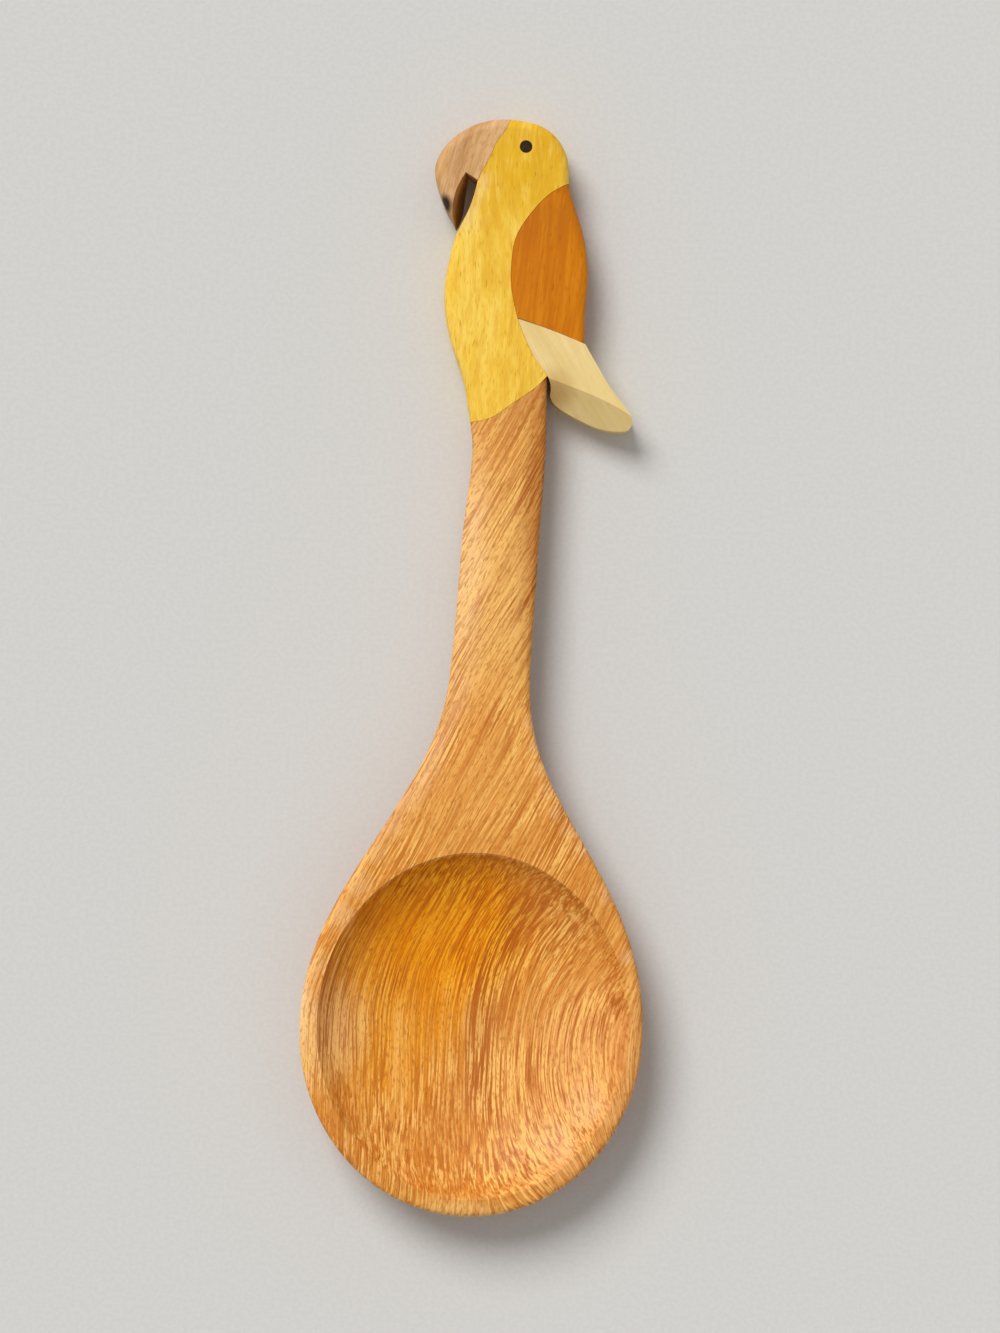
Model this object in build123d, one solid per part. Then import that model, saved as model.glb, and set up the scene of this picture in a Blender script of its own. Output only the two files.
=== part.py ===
from build123d import *
import os
from math import cos, radians, sin, sqrt

# A carved wooden spoon whose handle ends in a bird joined from four woods.
# Millimetres. The origin is the middle of the bowl's flat sole, +Y runs along
# the spoon to the bird's head and +Z points up, out of the bowl's hollow.

# Bowl
bowl_width = 93.5
bowl_tip_length = 50.4
rim_height = 20.0
rim_band = 5.0
rim_edge_radius = 2.0
floor_thickness = 6.0
sole_relief = 1.6
rim_side = 3.7
rim_tip = 4.5
hollow_shift = 0.5
hollow_reach = 49.1
hollow_rim_slope = 62.0
hollow_edge_radius = 1.5
hollow_edge_slope = 20.0
hollow_edge_lift = 0.1
dome_low_power = 2
dome_high_power = 8
dome_low_share = 0.8

# Neck and handle
shoulder_length = 100.0
neck_shift = 0.7
lean_start = 72.0
handle_lean = 0.045
handle_low_width = 21.7
handle_high_width = 20.3
handle_length = 62.0
handle_arch = 6.2
arch_start = 85.0
crown_power = 2.2
rim_crown = 0.4
handle_crown = 2.0
shoulder_back_crown = 7.0
blend_width = 4.0

# Bird
bird_width = 43.0
bird_height = 87.0
bird_thickness = 14.5
bird_crown = 0.9
back_relief = 0.6
edge_radius = 2.6
glue_line = 0.08

# Tail
tail_reach = 32.3
tail_drop = 29.8
tail_thickness = 14.2
tail_bevel_drop = 8.0
tail_bevel_out = 10.5
tail_bevel_aside = 4.0

# Eye and the dowels inside the joints
eye_diameter = 3.3
handle_dowel_diameter = 6.0
handle_dowel_length = 24.0
small_dowel_diameter = 3.0
small_dowel_length = 13.0
dowel_end_room = 0.6
dowel_chamfer = 0.5

# How far cutting solids run past what they cut
overrun = 12.0

# Shares of the shoulder's length, and of its widening from handle to bowl
shoulder_shares = (
    (0.15, 0.957), (0.30, 0.819), (0.45, 0.600), (0.60, 0.347), (0.75, 0.132), (0.90, 0.020), (1.00, 0.0),
)
handle_shares = (0.32, 0.65)

# Shares of the bird's width and height, from the handle's axis where the bird starts
back_left_shares = (
    (-0.264, 0.080), (-0.299, 0.168), (-0.362, 0.254),
)
front_left_shares = (
    (-0.417, 0.341), (-0.443, 0.429), (-0.442, 0.483), (-0.417, 0.561), (-0.397, 0.605), (-0.383, 0.641),
    (-0.403, 0.674), (-0.441, 0.703), (-0.480, 0.743), (-0.517, 0.795), (-0.531, 0.833), (-0.515, 0.871),
    (-0.464, 0.914), (-0.371, 0.956), (-0.238, 0.989), (-0.103, 1.000),
)
head_right_shares = (
    (0.041, 0.995), (0.134, 0.983), (0.219, 0.957), (0.283, 0.915), (0.313, 0.875), (0.322, 0.837),
    (0.328, 0.793), (0.355, 0.749), (0.417, 0.663), (0.455, 0.576), (0.466, 0.487), (0.457, 0.400),
    (0.459, 0.305), (0.461, 0.150), (0.461, 0.000), (0.461, -0.150),
)
handle_right_shares = ((0.233, 0.080), (0.228, 0.168), (0.225, 0.254))

# Seams between the woods, in the same shares
handle_seam_shares = (
    (-0.390, 0.030), (-0.252, 0.044), (-0.113, 0.062), (-0.014, 0.097), (0.078, 0.130), (0.194, 0.178),
    (0.215, 0.190), (0.290, 0.225),
)
tail_seam_shares = ((0.243, 0.130), (0.236, 0.193), (0.155, 0.246), (0.0965, 0.2966), (0.027, 0.376))
wing_end_shares = ((0.027, 0.376), (0.159, 0.357), (0.283, 0.336), (0.462, 0.302), (0.640, 0.262))
wing_seam_shares = (
    (0.027, 0.376), (0.001, 0.423), (-0.023, 0.492), (-0.022, 0.551), (-0.005, 0.6195), (0.038, 0.667),
    (0.1105, 0.718), (0.199, 0.7655), (0.308, 0.800), (0.430, 0.830),
)
beak_seam_shares = (
    (-0.255, 0.8046), (-0.222, 0.841), (-0.1756, 0.887), (-0.143, 0.9276), (-0.101, 0.955), (-0.065, 0.992),
    (-0.010, 1.040),
)

# Outer corners that close each wood's plan region, in the same shares
beak_corner_shares = ((-0.700, 1.040), (-0.700, 0.600), (-0.385, 0.645))
wing_corner_shares = ((0.640, 0.830),)
tail_corner_shares = ((0.950, 0.262), (0.950, -0.150), (0.243, -0.150))
below_corner_shares = ((0.700, 0.225), (0.700, -0.700), (-0.700, -0.700), (-0.700, 0.030))
above_corner_shares = ((0.700, 0.225), (0.700, 0.700), (-0.700, 0.700), (-0.700, 0.030))

# The open notch under the beak's hook. The third share is how far the slanted side comes in at the back
notch_beak_shares = (
    (-0.448, 0.640, 0.000), (-0.396, 0.657, 0.015), (-0.408, 0.686, 0.050), (-0.411, 0.725, 0.070),
    (-0.408, 0.750, 0.070), (-0.395, 0.776, 0.062), (-0.371, 0.803, 0.045), (-0.334, 0.828, 0.010),
)
notch_chest_shares = (
    (-0.255, 0.8046), (-0.271, 0.768), (-0.294, 0.728), (-0.324, 0.691), (-0.355, 0.660), (-0.374, 0.641),
    (-0.450, 0.600),
)

# Shares of the tail's reach and drop, from the point where body, wing and tail meet
tail_free_shares = (
    (0.632, 0.312), (0.703, 0.436), (0.777, 0.564), (0.864, 0.688), (0.957, 0.812), (0.991, 0.869),
    (1.000, 0.933), (0.972, 0.983), (0.910, 1.000), (0.854, 1.000), (0.731, 0.980), (0.610, 0.933),
    (0.480, 0.868), (0.375, 0.803), (0.315, 0.742), (0.290, 0.665), (0.283, 0.590),
)
tail_inner_shares = ((0.100, 0.560), (-0.150, 0.200), (-0.100, -0.200), (0.560, -0.100))
tail_crest_shares = ((-0.050, 0.400), (0.365, 0.570), (0.750, 0.725), (1.080, 0.930))

# Places along the bird where its middle and half width are read, in the same shares
girth_shares = (
    (0.12, 0.01, 0.27), (0.26, 0.03, 0.37), (0.40, 0.03, 0.43), (0.55, 0.02, 0.44), (0.72, -0.04, 0.43),
    (0.88, -0.10, 0.43), (1.04, -0.10, 0.43), (1.20, -0.10, 0.43),
)
tip_shares = (-1.30, -1.10, -0.92, -0.74, -0.56, -0.38, -0.19, 0.0)
across_shares = (-1.25, -1.0, -0.75, -0.4, 0.0, 0.4, 0.75, 1.0, 1.25)
hollow_floor_shares = ((0.40, 0.925), (0.74, 0.655))

# Where the surfaces change along the shoulder, handle and bird, and how thin the rim may get
neck_middle_share = 0.5
crest_start_share = 0.4
crown_end_share = 0.667
arch_end_share = 0.333
least_rim_share = 0.9
rim_blend_share = 0.25

# Middles of the eye and of the dowels, in the bird's shares
eye_shares = (0.043, 0.914)
handle_dowel_shares = (-0.014, 0.103)
tail_dowel_shares = (0.144, 0.288)
beak_dowel_shares = (-0.171, 0.902)

bowl_half = bowl_width / 2
bird_start = shoulder_length + handle_length
neck_middle = neck_middle_share * shoulder_length
crest_start = crest_start_share * shoulder_length
crown_end = shoulder_length + crown_end_share * handle_length
arch_end = bird_start + arch_end_share * bird_height
spoon_top = max(rim_height, bird_thickness) + overrun


def ease(low, high, start, end, place):
    """Slide smoothly from low at start to high at end."""
    t = min(max((place - start) / (end - start), 0.0), 1.0)
    return low + (high - low) * t * t * (3 - 2 * t)


def axis_x(y):
    """Middle of the neck and handle, which lean a little to one side."""
    return ease(0.0, neck_shift, 0.0, neck_middle, y) + handle_lean * max(y - lean_start, 0.0)


def handle_half(y):
    """Half the handle's width, which narrows towards the bird."""
    t = min(max((y - shoulder_length) / handle_length, 0.0), 1.0)
    return (handle_low_width + (handle_high_width - handle_low_width) * t) / 2


def bird_point(shares, shift=(0.0, 0.0)):
    """Plan point of the bird from its shares, moved aside by shift."""
    x = axis_x(bird_start) + shares[0] * bird_width + shift[0]
    return (x, bird_start + shares[1] * bird_height + shift[1])


def bird_points(table, shift=(0.0, 0.0)):
    """Plan points of a whole table of the bird's shares."""
    return [bird_point(shares, shift) for shares in table]


def tail_points(table):
    """Plan points of a table of the tail's shares."""
    x, y = bird_point(wing_end_shares[0])
    return [(x + across * tail_reach, y - down * tail_drop) for across, down in table]


def shoulder_stations():
    """Place, middle and half width at each station of the shoulder."""
    stations = []
    for along, widening in shoulder_shares:
        y = along * shoulder_length
        half = handle_half(y) + widening * (bowl_half - handle_half(y))
        stations.append((y, axis_x(y), half))
    return stations


def handle_stations():
    """Place, middle and half width at each station of the handle."""
    places = [shoulder_length + along * handle_length for along in handle_shares]
    return [(y, axis_x(y), handle_half(y)) for y in places + [bird_start]]


def survey_stations():
    """Place, middle and half width of the whole spoon, from past the tip to past the head."""
    stations = [(share * bowl_tip_length, 0.0, bowl_half) for share in tip_shares]
    stations += shoulder_stations() + handle_stations()
    for along, middle, half in girth_shares:
        x, y = bird_point((middle, along))
        stations.append((y, x, half * bird_width))
    return stations


def top_height(x, y, middle, half):
    """Height of the upper surface."""
    crest = ease(rim_height, bird_thickness, crest_start, arch_end, y)
    crown = ease(rim_crown, handle_crown, neck_middle, shoulder_length, y)
    crown += ease(0.0, bird_crown - handle_crown, crown_end, arch_end, y)
    return crest - crown * (abs(x - middle) / half) ** crown_power


def dome_height(x, y):
    """Height of the bowl's rounded back, below zero where the flat sole is."""
    reach = sqrt((x / bowl_half) ** 2 + (y / bowl_tip_length) ** 2)
    rise = rim_height - rim_band + sole_relief
    curve = dome_low_share * reach ** dome_low_power + (1 - dome_low_share) * reach ** dome_high_power
    return rise * curve - sole_relief


def back_height(x, y, middle, half):
    """Height of the handle's and bird's back, which rises out of the dome's way under the bowl."""
    arch = ease(rim_height, handle_arch, 0.0, crest_start, y)
    arch += ease(0.0, -back_relief - handle_arch, arch_start, arch_end, y)
    crown = ease(shoulder_back_crown, handle_crown, crest_start, shoulder_length, y)
    return arch + crown * (abs(x - middle) / half) ** crown_power


def blended(first, second, width):
    """The lower of two heights, with a smooth passage of the given width between them."""
    t = min(max(0.5 + (second - first) / (2 * width), 0.0), 1.0)
    return second + (first - second) * t - width * t * (1 - t)


def under_height(x, y, middle, half):
    """Height of the lower surface: the lower of dome and back, and always under the upper surface."""
    lower = blended(dome_height(x, y), back_height(x, y, middle, half), blend_width)
    highest = top_height(x, y, middle, half) - least_rim_share * rim_band
    return blended(lower, highest, rim_blend_share * rim_band)


def section(y, middle, half):
    """Cross-section of the space between the lower and the upper surface at one station."""
    places = [middle + share * half for share in across_shares]
    upper = Spline([(x, y, top_height(x, y, middle, half)) for x in places])
    lower = Spline([(x, y, under_height(x, y, middle, half)) for x in places])
    return Face(Wire([upper, Line(upper @ 1, lower @ 1), lower, Line(lower @ 0, upper @ 0)]))


def envelope():
    """Everything between the lower and the upper surface."""
    return loft([section(*station) for station in survey_stations()])


def block(edges):
    """Solid of full height over a closed plan outline."""
    plan = make_face(edges)
    return extrude(Pos(0, 0, -spoon_top) * plan, spoon_top * 2, dir=(0, 0, 1))


def rounded(plan, space, cut_y, radius):
    """Space cut to a plan outline, its long upper and lower edges rounded, all but those at the cut end."""
    form = plan & space
    rims = [edge for edge in new_edges(plan, space, combined=form) if abs((edge @ 0.5).Y - cut_y) > radius]
    return above_table(fillet(rims, radius))


def above_table(form):
    """Form cut flat where it lies on the table."""
    length = bowl_tip_length + bird_start + bird_height
    keeper = Box(bowl_width * 2, length * 2, spoon_top, align=(Align.CENTER, Align.CENTER, Align.MIN))
    return form & keeper


def heading(first, last):
    """Direction from one plan point to another."""
    return (last[0] - first[0], last[1] - first[1])


def spoon_form(space):
    """Bowl, neck and handle, run on a little way into the bird."""
    stations = shoulder_stations() + handle_stations()
    left = [(-bowl_half, 0)] + [(x - half, y) for y, x, half in stations] + bird_points(back_left_shares)
    right = [(bowl_half, 0)] + [(x + half, y) for y, x, half in stations] + bird_points(handle_right_shares)
    tip = EllipticalCenterArc((0, 0), bowl_half, bowl_tip_length, 180, arc_size=180)
    left_edge = Spline(left, tangents=[(0, 1), heading(left[-2], left[-1])])
    right_edge = Spline(right, tangents=[(0, 1), heading(right[-2], right[-1])])
    plan = block([tip, left_edge, right_edge, Line(left[-1], right[-1])])
    return rounded(plan, space, left[-1][1], rim_edge_radius)


def bird_form(space):
    """Body, wing, head and beak in one, run on a little way down the handle."""
    left = [(x - half, y) for y, x, half in handle_stations()]
    left += bird_points(back_left_shares + front_left_shares)
    right = bird_points(head_right_shares)
    low_right = (right[-1][0], left[0][1])
    outline = Spline(left + right + [low_right])
    return rounded(block([outline, Line(low_right, left[0])]), space, left[0][1], edge_radius)


def eased_edge(top, slope):
    """Point where the hollow's rounded edge has a given slope, from the edge's top end."""
    aside = sin(radians(slope)) - sin(radians(hollow_edge_slope))
    down = cos(radians(hollow_edge_slope)) - cos(radians(slope))
    return (top[0] - aside * hollow_edge_radius, 0, top[2] - down * hollow_edge_radius)


def hollow():
    """The bowl's hollow: a turned dish with an eased edge, stretched along the spoon."""
    half = bowl_half - rim_side
    low_end = bowl_tip_length - rim_tip
    half_length = (low_end + hollow_reach) / 2
    depth = rim_height - floor_thickness
    wall = [(out * half, 0, rim_height - down * depth) for out, down in hollow_floor_shares]
    top = (half, 0, rim_height + hollow_edge_lift)
    middle = eased_edge(top, (hollow_rim_slope + hollow_edge_slope) / 2)
    rim = eased_edge(top, hollow_rim_slope)
    slope = (cos(radians(hollow_rim_slope)), 0, sin(radians(hollow_rim_slope)))
    profile = [
        Spline([(0, 0, floor_thickness)] + wall + [rim], tangents=[(1, 0, 0), slope]),
        ThreePointArc(rim, middle, top),
        Line(top, (half, 0, spoon_top)),
        Line((half, 0, spoon_top), (0, 0, spoon_top)),
        Line((0, 0, spoon_top), (0, 0, floor_thickness)),
    ]
    dish = revolve(Face(Wire(profile)), Axis.Z)
    return Pos(hollow_shift, (hollow_reach - low_end) / 2, 0) * scale(dish, by=(1, half_length / half, 1))


def seam(table, shift=(0.0, 0.0)):
    """Curve of a seam between two woods, moved aside by shift."""
    return Spline(bird_points(table, shift))


def zone(edges, corners, shift=(0.0, 0.0)):
    """Full-height solid bounded by seams and by straight lines through outer corners."""
    points = [edges[-1] @ 1] + bird_points(corners, shift) + [edges[0] @ 0]
    sides = [Line(first, last) for first, last in zip(points, points[1:])]
    return block(edges + sides)


def beak_zone(shift=(0.0, 0.0)):
    """Everything on the beak's side of the head."""
    return zone([seam(beak_seam_shares, shift)], beak_corner_shares, shift)


def wing_zone(shift=(0.0, 0.0)):
    """Everything on the wing's side of its two seams."""
    edges = [seam(wing_end_shares[::-1], shift), seam(wing_seam_shares, shift)]
    return zone(edges, wing_corner_shares, shift)


def tail_zone(shift=(0.0, 0.0)):
    """Everything on the tail's side of its two seams."""
    edges = [seam(tail_seam_shares, shift), seam(wing_end_shares, shift)]
    return zone(edges, tail_corner_shares, shift)


def handle_zone(corners, shift=(0.0, 0.0)):
    """Everything on one side of the slanted joint between handle and bird."""
    return zone([seam(handle_seam_shares, shift)], corners, shift)


def notch_level(height):
    """Plan of the notch at one height."""
    slant = bird_width * (1 - height / bird_thickness)
    beak_side = [bird_point((across, along), (inward * slant, 0.0)) for across, along, inward in notch_beak_shares]
    beak_edge = Spline([(x, y, height) for x, y in beak_side])
    chest_edge = Spline([(x, y, height) for x, y in bird_points(notch_chest_shares)])
    root = Line(beak_edge @ 1, chest_edge @ 0)
    return Face(Wire([beak_edge, root, chest_edge, Line(chest_edge @ 1, beak_edge @ 0)]))


def notch():
    """Open notch under the beak's hook, narrower at the back where the beak's side slants in."""
    return loft([notch_level(-back_relief), notch_level(spoon_top)], ruled=True)


def dowel(diameter, length, place, direction):
    """Round dowel with chamfered ends."""
    stick = Cylinder(diameter / 2, length)
    stick = chamfer(stick.edges().filter_by(GeomType.CIRCLE), dowel_chamfer)
    return Plane(origin=place, z_dir=direction) * stick


def dowel_hole(diameter, length, place, direction):
    """Hole for a dowel, with room for glue round it and at its ends."""
    hole = Cylinder(diameter / 2 + glue_line, length + 2 * dowel_end_room)
    return Plane(origin=place, z_dir=direction) * hole


def inner_place(shares):
    """Place of a dowel's middle, halfway through the thickness."""
    x, y = bird_point(shares)
    return (x, y, bird_thickness / 2)


def tail_blank():
    """The tail's plate with its free edge, run on a little way into body and wing."""
    top_corner = bird_point(wing_end_shares[3])
    low_corner = bird_point(tail_seam_shares[1])
    free = Spline([top_corner] + tail_points(tail_free_shares) + [low_corner])
    inner = [low_corner] + tail_points(tail_inner_shares) + [top_corner]
    sides = [Line(first, last) for first, last in zip(inner, inner[1:])]
    return extrude(make_face([free] + sides), tail_thickness, dir=(0, 0, 1))


def tail_bevel():
    """What the wide bevel takes off the tail's lower edge, below a crest line on its upper face."""
    crest = Spline([(x, y, tail_thickness) for x, y in tail_points(tail_crest_shares)])
    slope = Face.extrude(crest, (-tail_bevel_aside, -tail_bevel_out, -tail_bevel_drop))
    return extrude(slope, spoon_top, dir=(0, 0, 1))


def build():
    """Every piece of the spoon by the name of its node."""
    space = envelope()
    handle_run = (inner_place(handle_dowel_shares), (handle_lean, 1, 0))
    tail_run = (inner_place(tail_dowel_shares), (1, 0, 0))
    beak_run = (inner_place(beak_dowel_shares), (1, 0, 0))
    handle_hole = dowel_hole(handle_dowel_diameter, handle_dowel_length, *handle_run)
    tail_hole = dowel_hole(small_dowel_diameter, small_dowel_length, *tail_run)
    beak_hole = dowel_hole(small_dowel_diameter, small_dowel_length, *beak_run)

    spoon = spoon_form(space - hollow()) - handle_zone(above_corner_shares) - handle_hole

    bird = bird_form(space) - notch()
    eye_x, eye_y = bird_point(eye_shares)
    eye = bird & Pos(eye_x, eye_y, 0) * Cylinder(eye_diameter / 2, spoon_top * 2)
    socket = Pos(eye_x, eye_y, 0) * Cylinder(eye_diameter / 2 + glue_line, spoon_top * 2)

    body = bird - handle_zone(below_corner_shares, (0, glue_line))
    body = body - beak_zone((glue_line, 0)) - wing_zone() - wing_zone((-glue_line, glue_line))
    body = body - tail_zone() - tail_zone((-glue_line, -glue_line / 2))
    body = body - socket - handle_hole - tail_hole - beak_hole

    beak = (bird & beak_zone()) - beak_hole
    wing = bird & wing_zone()
    tail = (tail_blank() & tail_zone((0, -glue_line))) - tail_bevel() - tail_hole
    return {
        "bowl_and_handle": spoon,
        "bird_body": body,
        "beak": beak,
        "wing": wing,
        "tail": tail,
        "eye_peg": eye,
        "handle_dowel": dowel(handle_dowel_diameter, handle_dowel_length, *handle_run),
        "tail_dowel": dowel(small_dowel_diameter, small_dowel_length, *tail_run),
        "beak_dowel": dowel(small_dowel_diameter, small_dowel_length, *beak_run),
    }


if __name__ == "__main__":
    os.makedirs("parts", exist_ok=True)
    for name, piece in build().items():
        export_step(piece, f"parts/{name}.step")
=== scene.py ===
"""A wooden spoon with a joined-wood bird on its handle: its woods, a pale floor, soft light and a camera."""

import logging
import math
from dataclasses import dataclass
from enum import Enum

import bpy
from mathutils import Euler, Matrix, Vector


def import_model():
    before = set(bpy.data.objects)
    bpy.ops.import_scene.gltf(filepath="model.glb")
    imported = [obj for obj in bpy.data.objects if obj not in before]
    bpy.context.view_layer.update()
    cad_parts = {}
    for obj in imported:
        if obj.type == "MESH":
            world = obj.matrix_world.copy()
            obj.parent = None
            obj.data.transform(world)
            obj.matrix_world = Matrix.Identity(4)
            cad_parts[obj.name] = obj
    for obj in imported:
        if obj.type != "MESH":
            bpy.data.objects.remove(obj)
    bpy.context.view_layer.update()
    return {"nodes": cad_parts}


LOG = logging.getLogger("spoon")

MILLIMETRE = 0.001

# Values of a random pattern: its middle, how far most of it strays, and where the roughness is least and most
CLOUD_MIDDLE = 0.5
CLOUD_REACH = 0.25
SHEEN_SPAN = (0.3, 0.7)

Place = tuple[float, float, float]
Span = tuple[float, float]
Plug = bpy.types.NodeSocket
Value = float | Plug


class Wood(Enum):
    """The woods of the spoon, by their slots in the record."""

    SPOON = "spoon_wood"
    BODY = "body_wood"
    BEAK = "beak_wood"
    WING = "wing_wood"
    TAIL = "tail_wood"
    EYE = "eye_wood"
    DOWEL = "dowel_wood"


class Sum(Enum):
    """The sums that a pattern is worked out with."""

    ADD = "ADD"
    SUBTRACT = "SUBTRACT"
    MULTIPLY = "MULTIPLY"
    MAXIMUM = "MAXIMUM"
    MINIMUM = "MINIMUM"


class Blend(Enum):
    """The ways in which one colour is laid over another."""

    COVER = "MIX"
    DARKEN = "MULTIPLY"


@dataclass(frozen=True)
class Tone:
    """A colour as a screen shows it, each part from 0 to 255."""

    red: float
    green: float
    blue: float

    def linear(self) -> tuple[float, float, float, float]:
        """Work the colour out as a shader takes it, by the sRGB curve.

        Returns:
            Red, green and blue, and full cover.
        """
        parts = [part / 255 for part in (self.red, self.green, self.blue)]
        red, green, blue = [p / 12.92 if p <= 0.04045 else ((p + 0.055) / 1.055) ** 2.4 for p in parts]
        return (red, green, blue, 1.0)


Colour = Tone | Plug


@dataclass(frozen=True)
class Gloss:
    """How an oiled wood shines, and the height of its fine relief in millimetres."""

    roughness: float = 0.48
    unevenness: float = 0.06
    mirror: float = 0.15
    relief: float = 0.02


class PatternSheet:
    """The node tree of one material, filled node by node. Its places are in millimetres."""

    def __init__(self, name: str) -> None:
        """Start an empty sheet.

        Args:
            name: The material's name.
        """
        self.material = bpy.data.materials.new(name)
        self.material.use_nodes = True
        self.nodes = self.material.node_tree.nodes
        self.links = self.material.node_tree.links
        self.nodes.clear()

    def feed(self, socket: Plug, value: Value | Colour) -> None:
        """Give an input its value, by a link where the value is another node's output.

        Args:
            socket: The input.
            value: A number, a colour or another node's output.
        """
        if isinstance(value, Plug):
            self.links.new(value, socket)
        else:
            socket.default_value = value.linear() if isinstance(value, Tone) else value

    def place(self, turn: float = 0.0, centre: Place = (0.0, 0.0, 0.0)) -> Plug:
        """Read the place on the piece.

        Args:
            turn: Degrees that the pattern is turned by about the vertical.
            centre: Place of the pattern's own zero, in millimetres.

        Returns:
            The place in millimetres, from the centre, in the turned pattern's axes.
        """
        source = self.nodes.new("ShaderNodeTexCoord")
        mapping = self.nodes.new("ShaderNodeMapping")
        mapping.vector_type = "POINT"
        mapping.inputs["Scale"].default_value = (1 / MILLIMETRE,) * 3
        angle = Euler((0.0, 0.0, -math.radians(turn)))
        mapping.inputs["Rotation"].default_value = angle
        mapping.inputs["Location"].default_value = -(angle.to_matrix() @ Vector(centre))
        self.links.new(source.outputs["Object"], mapping.inputs["Vector"])
        return mapping.outputs["Vector"]

    def split(self, place: Plug) -> list[Plug]:
        """Split a place into its parts.

        Args:
            place: The place.

        Returns:
            Its three parts: across, along and up.
        """
        node = self.nodes.new("ShaderNodeSeparateXYZ")
        self.links.new(place, node.inputs[0])
        return list(node.outputs)

    def join(self, across: Value, along: Value, up: Value) -> Plug:
        """Join three parts into a place.

        Args:
            across: The part across.
            along: The part along.
            up: The part upwards.

        Returns:
            The place.
        """
        node = self.nodes.new("ShaderNodeCombineXYZ")
        for socket, value in zip(node.inputs, (across, along, up)):
            self.feed(socket, value)
        return node.outputs[0]

    def work(self, operation: Sum, first: Value, second: Value) -> Plug:
        """Work out a sum.

        Args:
            operation: Which sum it is.
            first: The first value.
            second: The second value.

        Returns:
            The result.
        """
        node = self.nodes.new("ShaderNodeMath")
        node.operation = operation.value
        self.feed(node.inputs[0], first)
        self.feed(node.inputs[1], second)
        return node.outputs[0]

    def fade(self, value: Value, start: float, end: float, low: float = 0.0, high: float = 1.0) -> Plug:
        """Slide smoothly from low, where the value is at start, to high, where it is at end.

        Args:
            value: What is read.
            start: Where the slide starts.
            end: Where it ends, above or below the start.
            low: The result at the start.
            high: The result at the end.

        Returns:
            The result, kept between low and high.
        """
        node = self.nodes.new("ShaderNodeMapRange")
        node.interpolation_type = "SMOOTHSTEP"
        ordered = (start, end, low, high) if start < end else (end, start, high, low)
        for name, number in zip(("From Min", "From Max", "To Min", "To Max"), ordered):
            node.inputs[name].default_value = number
        self.feed(node.inputs["Value"], value)
        return node.outputs["Result"]

    def cloud(self, place: Plug, size: float, detail: float = 1.0) -> Plug:
        """Scatter a soft random pattern.

        Args:
            place: Where it is read.
            size: Width of its patches in millimetres.
            detail: How many finer layers it has.

        Returns:
            A value around CLOUD_MIDDLE.
        """
        node = self.nodes.new("ShaderNodeTexNoise")
        node.inputs["Scale"].default_value = 1 / size
        node.inputs["Detail"].default_value = detail
        self.links.new(place, node.inputs["Vector"])
        return node.outputs[0]

    def stretched(self, place: Plug, length: float, depth: float) -> Plug:
        """Draw a pattern out within the growth layers.

        Args:
            place: The place, its first part across the layers and its second along the fibres.
            length: How many times the pattern is drawn out along the fibres.
            depth: How many times it is drawn out upwards.

        Returns:
            The place for the drawn-out pattern.
        """
        across, along, up = self.split(place)
        drawn = self.work(Sum.MULTIPLY, along, 1 / length)
        return self.join(across, drawn, self.work(Sum.MULTIPLY, up, 1 / depth))

    def spot(self, centre: Place, inner: float, outer: float, length: float = 1.0) -> Plug:
        """Mark a soft spot.

        Args:
            centre: Its middle in millimetres.
            inner: Radius within which the mark is full.
            outer: Radius at which it has faded out.
            length: How many times longer it is along the spoon than across.

        Returns:
            1 in the spot, 0 outside it.
        """
        across, along, up = self.split(self.place(centre=centre))
        node = self.nodes.new("ShaderNodeVectorMath")
        node.operation = "LENGTH"
        self.links.new(self.join(across, self.work(Sum.MULTIPLY, along, 1 / length), up), node.inputs[0])
        return self.fade(node.outputs["Value"], outer, inner)

    def lay(self, below: Colour, above: Colour, cover: Value, blend: Blend = Blend.COVER) -> Plug:
        """Lay one colour over another.

        Args:
            below: The colour underneath.
            above: The colour laid over it.
            cover: How much it covers, from 0 to 1.
            blend: The way in which it is laid.

        Returns:
            The mixed colour.
        """
        node = self.nodes.new("ShaderNodeMix")
        node.data_type = "RGBA"
        node.blend_type = blend.value
        self.feed(node.inputs["Factor"], cover)
        for name, colour in (("A", below), ("B", above)):
            self.feed(next(s for s in node.inputs if s.name == name and s.type == "RGBA"), colour)
        return next(s for s in node.outputs if s.type == "RGBA")

    def finish(self, colour: Colour, gloss: Gloss, sheen: Value, relief: Value) -> bpy.types.Material:
        """Join the pattern to the surface.

        Args:
            colour: The surface's colour.
            gloss: How the surface shines.
            sheen: Pattern of the roughness, around CLOUD_MIDDLE.
            relief: Height of the fine relief, in millimetres.

        Returns:
            The finished material.
        """
        surface = self.nodes.new("ShaderNodeBsdfPrincipled")
        output = self.nodes.new("ShaderNodeOutputMaterial")
        bump = self.nodes.new("ShaderNodeBump")
        bump.inputs["Distance"].default_value = MILLIMETRE
        self.feed(bump.inputs["Height"], relief)
        self.feed(surface.inputs["Base Color"], colour)
        least, most = gloss.roughness - gloss.unevenness, gloss.roughness + gloss.unevenness
        self.feed(surface.inputs["Roughness"], self.fade(sheen, *SHEEN_SPAN, least, most))
        surface.inputs["Specular IOR Level"].default_value = gloss.mirror
        self.links.new(bump.outputs["Normal"], surface.inputs["Normal"])
        self.links.new(surface.outputs["BSDF"], output.inputs["Surface"])
        return self.material


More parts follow.
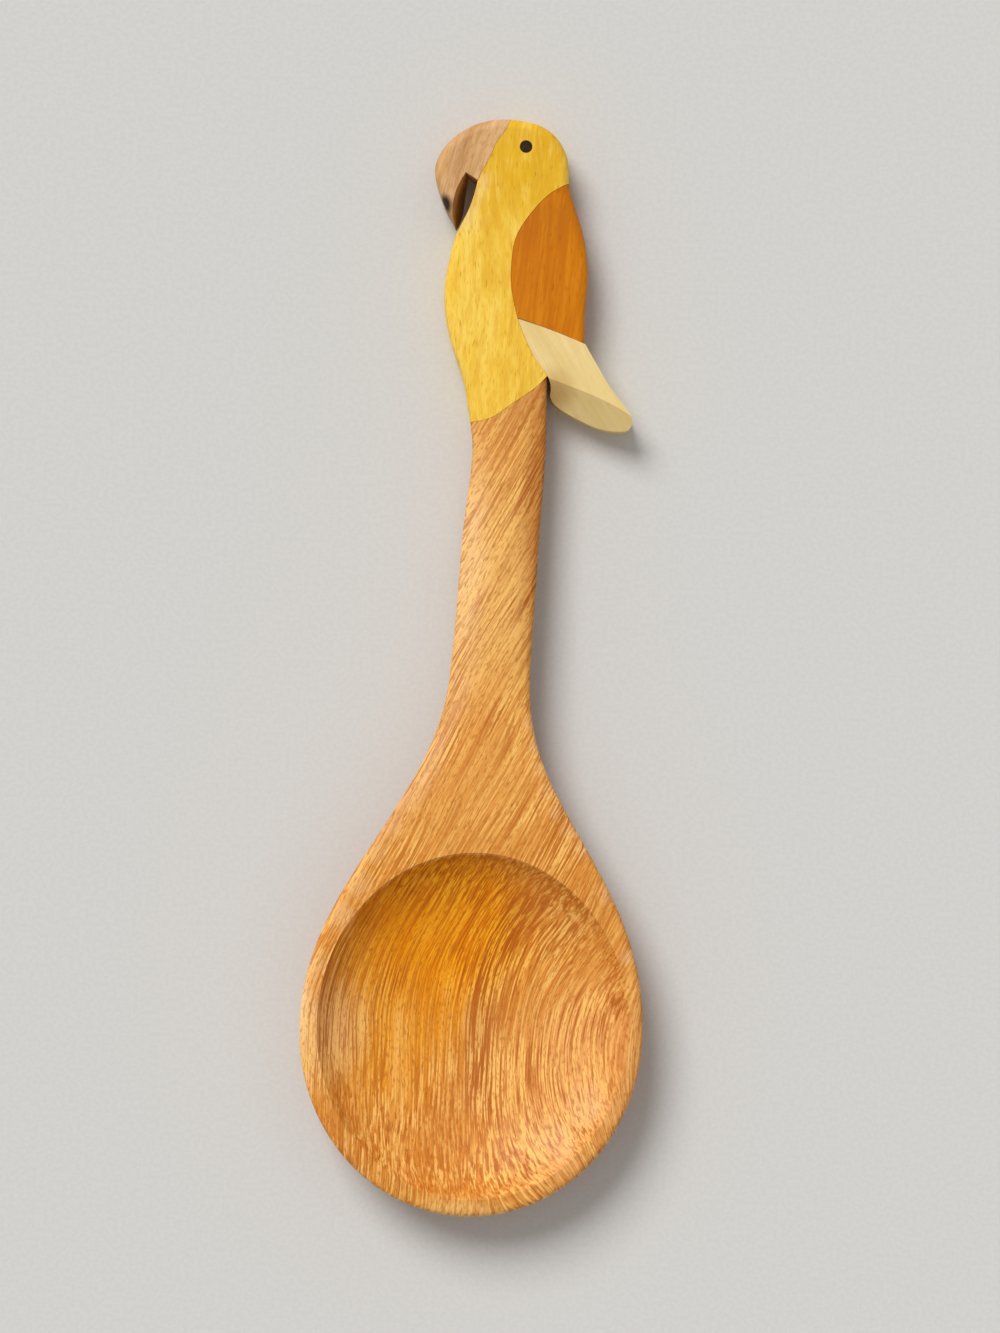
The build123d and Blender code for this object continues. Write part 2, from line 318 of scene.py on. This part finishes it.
@dataclass(frozen=True)
class Grain:
    """How a wood's fibres run, and how wide its patterns are, in millimetres and degrees.

    The turn is about the vertical. The tilt is how far the growth layers lean aside for each millimetre up.
    The lengths and the depth say how many times a pattern is drawn out along the fibres and upwards.
    """

    turn: float = 0.0
    tilt: float = 0.3
    band: float = 7.0
    streak: float = 1.8
    line: float = 0.9
    fibre: float = 0.45
    length: float = 20.0
    line_length: float = 36.0
    fibre_length: float = 6.0
    depth: float = 4.0
    waver: float = 1.0
    waver_size: float = 18.0
    waver_length: float = 2.0
    shift: Place = (0.0, 0.0, 0.0)


@dataclass(frozen=True)
class Cuts:
    """The values of the random patterns at which each layer starts and at which it is full.

    The fine lines are weaker, down to the two weakest shares, where the wood or its fibres are below a start.
    """

    light_band: Span = (0.5, 0.7)
    dark_band: Span = (0.5, 0.3)
    dark_streak: Span = (0.52, 0.36)
    light_streak: Span = (0.54, 0.7)
    dark_fibre: Span = (0.5, 0.36)
    light_line: Span = (0.52, 0.6)
    dark_line: Span = (0.44, 0.36)
    pore: Span = (0.34, 0.24)
    lined_place: Span = (0.35, 0.65)
    weakest_place: float = 0.4
    lined_fibre: Span = (0.34, 0.5)
    weakest_fibre: float = 0.35


@dataclass(frozen=True)
class WoodFinish:
    """An oiled wood with straight grain: broad bands, narrower streaks, and fine fibres and pores."""

    wood: Wood
    ground: Tone
    light: Tone
    dark: Tone
    pore: Tone
    grain: Grain = Grain()
    gloss: Gloss = Gloss()
    band_cover: float = 0.5
    streak_cover: float = 0.5
    line_cover: float = 0.3
    fibre_cover: float = 0.35
    pore_cover: float = 0.3
    cuts: Cuts = Cuts()

    def layers(self, sheet: PatternSheet) -> Plug:
        """Read the place in the wood: across its growth layers, along its fibres, and up.

        Args:
            sheet: The sheet that the pattern is drawn on.

        Returns:
            The place, its second part along the fibres.
        """
        across, along, up = sheet.split(sheet.place(self.grain.turn, self.grain.shift))
        leaning = sheet.work(Sum.ADD, across, sheet.work(Sum.MULTIPLY, up, self.grain.tilt))
        return sheet.join(leaning, along, up)

    def wavering(self, sheet: PatternSheet, layers: Plug) -> Plug:
        """Let the growth layers wander a little from side to side.

        Args:
            sheet: The sheet that the pattern is drawn on.
            layers: The place in the wood.

        Returns:
            The place, moved aside by the waves.
        """
        grain = self.grain
        across, along, up = sheet.split(layers)
        waves = sheet.cloud(sheet.stretched(layers, grain.waver_length, 1.0), grain.waver_size)
        stray = sheet.work(Sum.SUBTRACT, waves, CLOUD_MIDDLE)
        aside = sheet.work(Sum.MULTIPLY, stray, grain.waver / CLOUD_REACH)
        return sheet.join(sheet.work(Sum.ADD, across, aside), along, up)

    def base(self, sheet: PatternSheet, layers: Plug) -> Colour:
        """Return the wood's ground colour, the same all over in a plain wood."""
        return self.ground

    def marks(self, sheet: PatternSheet, colour: Colour) -> Colour:
        """Add the marks that only this wood has. A plain wood has none."""
        return colour

    def material(self) -> bpy.types.Material:
        """Draw the wood's colour, roughness and fine relief.

        Returns:
            The finished material.
        """
        sheet = PatternSheet(self.wood.value)
        grain, cuts = self.grain, self.cuts
        layers = self.wavering(sheet, self.layers(sheet))
        drawn = sheet.stretched(layers, grain.length, grain.depth)
        long = sheet.stretched(layers, grain.line_length, grain.depth)
        short = sheet.stretched(layers, grain.fibre_length, grain.depth)
        bands = sheet.cloud(drawn, grain.band, detail=2.0)
        streaks = sheet.cloud(drawn, grain.streak, detail=2.0)
        lines = sheet.cloud(long, grain.line)
        fibres = sheet.cloud(short, grain.fibre)
        in_place = sheet.fade(sheet.cloud(layers, 2 * grain.band), *cuts.lined_place, cuts.weakest_place)
        in_fibre = sheet.fade(fibres, *cuts.lined_fibre, cuts.weakest_fibre)
        strength = sheet.work(Sum.MULTIPLY, in_place, in_fibre)

        colour = self.base(sheet, layers)
        for pattern, tone, cut, cover in (
            (bands, self.light, cuts.light_band, self.band_cover),
            (bands, self.dark, cuts.dark_band, self.band_cover),
            (streaks, self.dark, cuts.dark_streak, self.streak_cover),
            (streaks, self.light, cuts.light_streak, self.streak_cover),
            (fibres, self.dark, cuts.dark_fibre, self.fibre_cover),
        ):
            colour = sheet.lay(colour, tone, sheet.fade(pattern, *cut, high=cover))
        for tone, cut in ((self.light, cuts.light_line), (self.dark, cuts.dark_line)):
            lined = sheet.work(Sum.MULTIPLY, sheet.fade(lines, *cut), strength)
            colour = sheet.lay(colour, tone, sheet.work(Sum.MULTIPLY, lined, self.line_cover))
        colour = sheet.lay(colour, self.pore, sheet.fade(fibres, *cuts.pore, high=self.pore_cover))
        colour = self.marks(sheet, colour)

        relief = sheet.work(Sum.MULTIPLY, fibres, self.gloss.relief)
        return sheet.finish(colour, self.gloss, streaks, relief)


@dataclass(frozen=True)
class Patch:
    """A soft patch of another colour, its place and radii in millimetres.

    Its length is how many times longer it is along the spoon than across. It fades out just under its top.
    """

    tone: Tone
    centre: Place
    inner: float
    outer: float
    cover: float = 1.0
    length: float = 1.0
    top: float = math.inf
    top_fade: float = 1.5


@dataclass(frozen=True)
class PatchedFinish(WoodFinish):
    """A wood whose colour changes from place to place, with painted highlights, painted shade, stains and
    spots of its own.
    """

    patches: tuple[Patch, ...] = ()
    shade_and_stains: tuple[Patch, ...] = ()
    spots: tuple[Patch, ...] = ()

    def lay_patches(
        self, sheet: PatternSheet, colour: Colour, patches: tuple[Patch, ...], blend: Blend = Blend.COVER,
    ) -> Colour:
        """Lay patches over a colour.

        Args:
            sheet: The sheet that the pattern is drawn on.
            colour: The colour underneath.
            patches: What is laid, in order.
            blend: The way in which each is laid.

        Returns:
            The mixed colour, or the colour itself where nothing is laid.
        """
        for patch in patches:
            spot = sheet.spot(patch.centre, patch.inner, patch.outer, patch.length)
            cover = sheet.work(Sum.MULTIPLY, spot, patch.cover)
            if patch.top < math.inf:
                up = sheet.split(sheet.place())[2]
                cover = sheet.work(Sum.MULTIPLY, cover, sheet.fade(up, patch.top, patch.top - patch.top_fade))
            colour = sheet.lay(colour, patch.tone, cover, blend)
        return colour

    def base(self, sheet: PatternSheet, layers: Plug) -> Colour:
        """Return the ground colour with its patches."""
        return self.lay_patches(sheet, self.ground, self.patches)

    def marks(self, sheet: PatternSheet, colour: Colour) -> Colour:
        """Darken the places of painted shade and stains, grain and all, and add the wood's own spots."""
        colour = self.lay_patches(sheet, colour, self.shade_and_stains, Blend.DARKEN)
        return self.lay_patches(sheet, colour, self.spots)


@dataclass(frozen=True)
class SpoonFinish(PatchedFinish):
    """The honey-brown wood of bowl and handle, whose growth layers bend where the bowl is cut.

    The lean is how far a layer moves to the right for each millimetre along the handle, and a bend is how
    fast it comes to that. The side's values hold on the bowl's right, and come in across it from side_from
    to side_full. A dark stripe lies between its left and right edges, within its reach. Speckles cover it
    and the foot.
    """

    lean: float = 0.49
    bend: float = 0.0095
    side_bend: float = 0.0105
    side_middle: float = -7.0
    side_shift: float = 2.4
    side_from: float = 0.0
    side_full: float = 30.0
    depth_lean: float = 0.15
    stripe_tone: Tone = Tone(190, 112, 50)
    stripe_cover: float = 0.8
    stripe_left: Span = (-4.0, -1.5)
    stripe_right: Span = (12.0, 3.0)
    stripe_middle: Place = (4.0, 8.0, 8.0)
    stripe_reach: Span = (24.0, 38.0)
    foot_middle: Place = (0.0, -30.0, 14.0)
    foot_reach: Span = (8.0, 30.0)
    speckle_size: float = 0.9
    speckle_stretch: Span = (2.5, 2.0)
    speckle_cut: Span = (0.44, 0.6)
    speckle_cover: float = 0.45

    def bent(self, sheet: PatternSheet, run: Plug, bend: float) -> Plug:
        """Follow a layer aside: in a curve as far as the handle's slope, then straight.

        Args:
            sheet: The sheet that the pattern is drawn on.
            run: The place along the spoon, from where the curve starts.
            bend: How strongly the layer curves.

        Returns:
            How far the layer has moved to the right.
        """
        reach = self.lean / (2 * bend)
        curved = sheet.work(Sum.MINIMUM, run, reach)
        straight = sheet.work(Sum.MAXIMUM, sheet.work(Sum.SUBTRACT, run, reach), 0.0)
        curve = sheet.work(Sum.MULTIPLY, sheet.work(Sum.MULTIPLY, curved, curved), bend)
        return sheet.work(Sum.ADD, curve, sheet.work(Sum.MULTIPLY, straight, self.lean))

    def layers(self, sheet: PatternSheet) -> Plug:
        """Read the place in layers that lean over the handle and bend round the bowl's right side.

        Args:
            sheet: The sheet that the pattern is drawn on.

        Returns:
            The place, its first part across the layers and its second along the spoon.
        """
        across, along, up = sheet.split(sheet.place())
        middle = self.bent(sheet, sheet.work(Sum.MAXIMUM, along, 0.0), self.bend)
        side = self.bent(sheet, sheet.work(Sum.SUBTRACT, along, self.side_middle), self.side_bend)
        beyond = sheet.work(Sum.SUBTRACT, sheet.work(Sum.SUBTRACT, side, self.side_shift), middle)
        share = sheet.fade(across, self.side_from, self.side_full)
        aside = sheet.work(Sum.ADD, middle, sheet.work(Sum.MULTIPLY, share, beyond))
        layer = sheet.work(Sum.SUBTRACT, across, aside)
        layer = sheet.work(Sum.SUBTRACT, layer, sheet.work(Sum.MULTIPLY, up, self.depth_lean))
        return sheet.join(layer, along, up)

    def base(self, sheet: PatternSheet, layers: Plug) -> Colour:
        """Lay a dark stripe through the hollow, and speckles on it and at its foot, over the patched ground.

        Args:
            sheet: The sheet that the pattern is drawn on.
            layers: The place in the wood.

        Returns:
            The ground colour.
        """
        colour = super().base(sheet, layers)
        across = sheet.split(layers)[0]
        left, right = sheet.fade(across, *self.stripe_left), sheet.fade(across, *self.stripe_right)
        stripe = sheet.work(Sum.MULTIPLY, left, right)
        stripe = sheet.work(Sum.MULTIPLY, stripe, sheet.spot(self.stripe_middle, *self.stripe_reach))
        foot = sheet.spot(self.foot_middle, *self.foot_reach)
        specks = sheet.cloud(sheet.stretched(layers, *self.speckle_stretch), self.speckle_size)
        speckle = sheet.fade(specks, *self.speckle_cut)
        speckled = sheet.work(Sum.MULTIPLY, sheet.work(Sum.MAXIMUM, stripe, foot), speckle)
        colour = sheet.lay(colour, self.stripe_tone, sheet.work(Sum.MULTIPLY, stripe, self.stripe_cover))
        return sheet.lay(colour, self.dark, sheet.work(Sum.MULTIPLY, speckled, self.speckle_cover))


def strip(tone: Tone, inner: float, outer: float, cover: float, *places: Place) -> tuple[Patch, ...]:
    """Lay a soft strip, as a row of patches that run into each other.

    Args:
        tone: Their colour.
        inner: Radius within which each is full.
        outer: Radius at which each has faded out.
        cover: How much each covers.
        places: Their middles, in millimetres.

    Returns:
        The patches.
    """
    return tuple(Patch(tone, place, inner, outer, cover) for place in places)


FINISHES = (
    SpoonFinish(
        Wood.SPOON, Tone(223, 144, 55), Tone(252, 197, 108), Tone(180, 98, 28), Tone(132, 70, 16),
        Grain(band=8.0, streak=1.3, line=0.55, fibre=0.4, length=20.0, line_length=40.0, fibre_length=4.5),
        band_cover=0.22, streak_cover=0.35, line_cover=0.92, fibre_cover=0.45, pore_cover=0.35,
        patches=(
            # Neck, handle, the handle's end, and a painted highlight on the handle's left side
            Patch(Tone(230, 156, 70), (2.0, 75.0, 14.0), 14.0, 42.0),
            Patch(Tone(242, 184, 102), (2.0, 126.0, 14.0), 14.0, 46.0),
            Patch(Tone(226, 162, 84), (5.0, 182.0, 12.0), 10.0, 34.0),
            Patch(Tone(252, 204, 140), (-5.2, 124.0, 14.0), 2.0, 8.5, 0.9, 6.0),
            # Golden shade in the hollow's upper left
            Patch(Tone(237, 156, 26), (-14.0, 20.0, 11.0), 12.0, 36.0, top=19.8),
            Patch(Tone(240, 156, 26), (-24.0, -4.0, 10.0), 8.0, 26.0, 0.85, top=19.0),
            # Paler right and lower right of the hollow; painted light on its shaded left wall; painted
            # highlights inside the lower right rim
            Patch(Tone(236, 169, 98), (36.0, -8.0, 14.0), 8.0, 32.0, 0.9),
            Patch(Tone(238, 174, 104), (20.0, -32.0, 14.0), 4.0, 20.0, 0.8),
            Patch(Tone(250, 194, 124), (-42.0, -2.0, 16.0), 5.0, 20.0, 0.9),
            Patch(Tone(250, 202, 146), (32.0, -19.0, 16.0), 2.0, 10.0, 0.6),
            Patch(Tone(250, 202, 146), (25.0, -30.0, 16.0), 2.0, 10.0, 0.6),
            # Painted highlights on the rounded edges of neck and rim, on the left and on the right
            *strip(
                Tone(250, 200, 138), 1.5, 6.0, 0.5,
                (-6.4, 93.6, 15.3), (-8.0, 88.3, 15.8), (-9.7, 83.1, 16.3), (-11.3, 78.5, 16.8),
                (-13.1, 74.1, 17.3), (-15.2, 70.2, 17.8), (-17.3, 66.5, 18.2), (-20.1, 62.0, 18.6),
                (-24.0, 55.5, 19.3), (-28.3, 48.7, 19.6), (-32.5, 39.5, 20.0), (-36.6, 30.5, 20.0),
                (-43.2, 17.6, 19.5),
            ),
            *strip(
                Tone(250, 204, 146), 0.5, 3.8, 0.5,
                (12.9, 84.0, 16.0), (14.6, 78.0, 16.6), (16.6, 72.0, 17.2), (18.6, 66.0, 18.0),
                (21.4, 60.5, 18.6), (24.8, 55.6, 19.2), (28.4, 50.8, 19.6), (35.7, 38.2, 19.6),
                (42.1, 21.8, 19.6),
            ),
            # The rim's paler tip, and a painted highlight on its left side
            Patch(Tone(250, 196, 112), (0.0, -50.0, 18.0), 5.0, 24.0, 0.9, 0.3),
            Patch(Tone(254, 222, 176), (-48.0, 8.0, 17.0), 1.0, 6.0, 0.9, 4.0),
        ),
        shade_and_stains=(
            # Deeper amber in the hollow's upper part: partly the wood's own tone, partly painted shade on the
            # shaded top wall
            Patch(Tone(255, 232, 96), (-8.0, 30.0, 13.0), 14.0, 34.0, top=19.8),
            # Painted shade on the handle's right flank, where its rounding turns away from the light
            Patch(Tone(214, 188, 158), (14.6, 130.0, 12.0), 3.0, 9.0, 0.9, 8.0),
        ),
    ),
    PatchedFinish(
        Wood.BODY, Tone(246, 200, 66), Tone(254, 218, 104), Tone(224, 166, 38), Tone(150, 106, 18),
        Grain(band=6.0, streak=1.6, line=0.7, length=5.0, line_length=9.0, waver=1.6, shift=(3.0, 0.0, 0.0)),
        band_cover=0.5, streak_cover=0.36, line_cover=0.24, fibre_cover=0.38, pore_cover=0.4,
        patches=(
            # Head, middle and foot, a painted highlight on the chest by the mouth, and painted highlights
            # along the chest's rounded edge
            Patch(Tone(232, 180, 30), (6.0, 240.0, 12.0), 8.0, 26.0),
            Patch(Tone(236, 184, 52), (1.0, 206.0, 12.0), 2.0, 12.0, 0.6),
            Patch(Tone(246, 198, 70), (0.0, 172.0, 12.0), 6.0, 22.0, 0.6),
            Patch(Tone(250, 214, 116), (-8.5, 220.0, 12.0), 2.0, 6.0, 0.7),
            *strip(
                Tone(246, 206, 140), 1.0, 3.6, 0.55,
                (-4.6, 232.0, 13.0), (-5.6, 229.3, 13.0), (-6.8, 226.5, 13.0), (-8.0, 223.8, 13.0),
                (-9.2, 221.0, 13.0),
            ),
        ),
    ),
    PatchedFinish(
        Wood.BEAK, Tone(211, 162, 104), Tone(232, 188, 138), Tone(180, 128, 78), Tone(134, 88, 50),
        Grain(turn=-16.0, band=6.0, streak=1.4, line=0.6, fibre=0.4, length=10.0, line_length=14.0),
        streak_cover=0.3, line_cover=0.34,
        patches=(Patch(Tone(170, 142, 104), (-14.0, 223.0, 12.0), 2.0, 9.0, 0.7),),
        # The beak's lower sides and notch wall, darker and greyer towards the bottom
        shade_and_stains=(Patch(Tone(168, 160, 154), (-11.5, 225.0, 4.0), 3.0, 9.0, 0.8),),
        spots=(Patch(Tone(52, 34, 20), (-14.9, 225.2, 12.8), 1.0, 2.8, 1.0, 1.3),),
    ),
    PatchedFinish(
        Wood.WING, Tone(206, 118, 2), Tone(224, 138, 10), Tone(192, 102, 2), Tone(150, 74, 4),
        Grain(turn=-6.0, band=5.0, streak=1.6, line=0.8, fibre=0.45, length=13.0, line_length=20.0),
        band_cover=0.55, streak_cover=0.45, line_cover=0.4, fibre_cover=0.28, pore_cover=0.4,
        patches=(
            Patch(Tone(192, 110, 4), (13.0, 222.0, 12.0), 3.0, 14.0, 0.8),
            Patch(Tone(220, 134, 8), (19.5, 206.0, 12.0), 1.0, 6.0, 0.7, 3.0),
        ),
    ),
    PatchedFinish(
        Wood.TAIL, Tone(237, 208, 140), Tone(246, 224, 168), Tone(224, 190, 118), Tone(186, 150, 88),
        Grain(turn=30.0, band=8.0, streak=1.8, fibre=0.45, length=10.0), band_cover=0.45, streak_cover=0.26,
        line_cover=0.16, fibre_cover=0.16, pore_cover=0.14,
        # Painted shadow of the body and handle on the left end of the tail's bevel
        shade_and_stains=(Patch(Tone(206, 186, 158), (16.5, 176.0, 10.0), 2.0, 9.0, 0.9),),
    ),
    WoodFinish(
        Wood.EYE, Tone(40, 25, 6), Tone(66, 44, 18), Tone(26, 16, 6), Tone(10, 6, 3),
        Grain(band=1.6, streak=0.6, line=0.4, fibre=0.3, length=1.0, fibre_length=1.0, waver=0.2),
    ),
    WoodFinish(
        Wood.DOWEL, Tone(220, 190, 140), Tone(232, 206, 160), Tone(200, 166, 112), Tone(160, 120, 70),
        Grain(band=3.0, streak=1.0, fibre=0.4),
    ),
)


class Dressing:
    """Gives each carried-over piece the finish of its wood."""

    def __init__(self, finishes: tuple[WoodFinish, ...]) -> None:
        """Make every finish's material once.

        Args:
            finishes: One finish for each wood.
        """
        self.materials = {finish.wood: finish.material() for finish in finishes}

    def dress(self, piece: bpy.types.Object, wood: Wood) -> None:
        """Put a wood's material on a piece, in its only slot.

        Args:
            piece: The piece.
            wood: Its wood.
        """
        piece.data.materials.clear()
        piece.data.materials.append(self.materials[wood])
        LOG.info("%s: %s, %d faces", piece.name, wood.value, len(piece.data.polygons))


@dataclass
class Bowl:
    """The bowl and handle, carved from one piece."""

    wood: Wood = Wood.SPOON

    def dress(self, nodes: dict[str, bpy.types.Object], dressing: Dressing) -> None:
        """Dress the bowl and handle."""
        dressing.dress(nodes["bowl_and_handle"], self.wood)


@dataclass
class Bird:
    """The bird: four woods joined flush, with a peg for the eye."""

    body: Wood = Wood.BODY
    beak: Wood = Wood.BEAK
    wing: Wood = Wood.WING
    tail: Wood = Wood.TAIL
    eye: Wood = Wood.EYE

    def dress(self, nodes: dict[str, bpy.types.Object], dressing: Dressing) -> None:
        """Dress each wood of the bird.

        Args:
            nodes: The carried-over pieces, by name.
            dressing: What holds the woods' materials.
        """
        for name, wood in (
            ("bird_body", self.body), ("beak", self.beak), ("wing", self.wing), ("tail", self.tail),
            ("eye_peg", self.eye),
        ):
            dressing.dress(nodes[name], wood)


@dataclass
class Dowels:
    """The dowels hidden in the joints."""

    wood: Wood = Wood.DOWEL

    def dress(self, nodes: dict[str, bpy.types.Object], dressing: Dressing) -> None:
        """Dress each dowel."""
        for name in ("handle_dowel", "tail_dowel", "beak_dowel"):
            dressing.dress(nodes[name], self.wood)


@dataclass
class Studio:
    """A pale floor, a wide soft lamp, an even sky that looks as pale as the floor, and a camera above.

    The floor's side is in metres, and the other lengths are in millimetres. The view's height is what the
    frame shows from top to bottom at the true level.
    """

    floor_side: float = 3.0
    floor_tone: Tone = Tone(214, 212, 208)
    floor_gloss: Gloss = Gloss(0.8, 0.05, 0.2)
    speck_tone: Tone = Tone(206, 204, 200)
    speck_size: float = 1.2
    speck_cut: Span = (0.4, 0.6)
    speck_cover: float = 0.4
    sky: float = 0.42
    seen_sky: float = 0.72
    key_strength: float = 2.4
    key_angle: float = 30.0
    key_from: Place = (-0.36, 0.56, 0.72)
    view_middle: Span = (4.44, 99.49)
    view_turn: float = 2.0
    view_height: float = 363.5
    true_level: float = 15.0
    camera_up: float = 1100.0

    def lay_floor(self) -> None:
        """Lay the floor at the spoon's lowest point."""
        bpy.ops.mesh.primitive_plane_add(size=self.floor_side)
        floor = bpy.context.object
        floor.name = "floor"
        sheet = PatternSheet("floor_paper")
        specks = sheet.cloud(sheet.place(), self.speck_size, detail=2.0)
        cover = sheet.fade(specks, *self.speck_cut, high=self.speck_cover)
        colour = sheet.lay(self.floor_tone, self.speck_tone, cover)
        relief = sheet.work(Sum.MULTIPLY, specks, self.floor_gloss.relief)
        floor.data.materials.append(sheet.finish(colour, self.floor_gloss, specks, relief))

    def hang_lamp(self) -> None:
        """Hang the key lamp up and to the left."""
        lamp = bpy.data.lights.new("key", "SUN")
        lamp.energy = self.key_strength
        lamp.angle = math.radians(self.key_angle)
        holder = bpy.data.objects.new("key", lamp)
        holder.rotation_euler = Vector(self.key_from).to_track_quat("Z", "Y").to_euler()
        bpy.context.scene.collection.objects.link(holder)

    def fill_sky(self) -> None:
        """Fill with an even sky that shows paler than it lights."""
        world = bpy.data.worlds.new("sky")
        world.use_nodes = True
        nodes, links = world.node_tree.nodes, world.node_tree.links
        nodes.clear()
        mix = nodes.new("ShaderNodeMixShader")
        path = nodes.new("ShaderNodeLightPath")
        seen = path.outputs["Is Camera Ray"]
        for ray in ("Is Glossy Ray", "Is Transmission Ray"):
            either = nodes.new("ShaderNodeMath")
            either.operation = Sum.MAXIMUM.value
            links.new(seen, either.inputs[0])
            links.new(path.outputs[ray], either.inputs[1])
            seen = either.outputs[0]
        links.new(seen, mix.inputs[0])
        for strength, socket in zip((self.sky, self.seen_sky), mix.inputs[1:]):
            background = nodes.new("ShaderNodeBackground")
            background.inputs["Color"].default_value = (1.0, 1.0, 1.0, 1.0)
            background.inputs["Strength"].default_value = strength
            links.new(background.outputs["Background"], socket)
        links.new(mix.outputs["Shader"], nodes.new("ShaderNodeOutputWorld").inputs["Surface"])
        bpy.context.scene.world = world

    def set_camera(self) -> None:
        """Set the camera straight above, turned as the photograph is."""
        camera = bpy.data.cameras.new("camera")
        holder = bpy.data.objects.new("camera", camera)
        height = (self.camera_up + self.true_level) * MILLIMETRE
        across, along = [place * MILLIMETRE for place in self.view_middle]
        holder.location = (across, along, height)
        holder.rotation_euler = (0.0, 0.0, math.radians(self.view_turn))
        camera.lens = camera.sensor_width * self.camera_up / self.view_height
        bpy.context.scene.collection.objects.link(holder)
        bpy.context.scene.camera = holder

    def build(self) -> None:
        """Set up the floor, the light and the camera."""
        self.lay_floor()
        self.hang_lamp()
        self.fill_sky()
        self.set_camera()
        bpy.context.scene.view_settings.view_transform = "Standard"
        LOG.info("studio: floor, key lamp, sky and camera")


def main() -> None:
    """Load the solids, dress each sub-assembly in order and set up the studio."""
    logging.basicConfig(level=logging.INFO, format="%(name)s %(message)s")
    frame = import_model()
    dressing = Dressing(FINISHES)
    for part in (Bowl(), Bird(), Dowels()):
        part.dress(frame["nodes"], dressing)
    Studio().build()


if __name__ == "__main__":
    main()
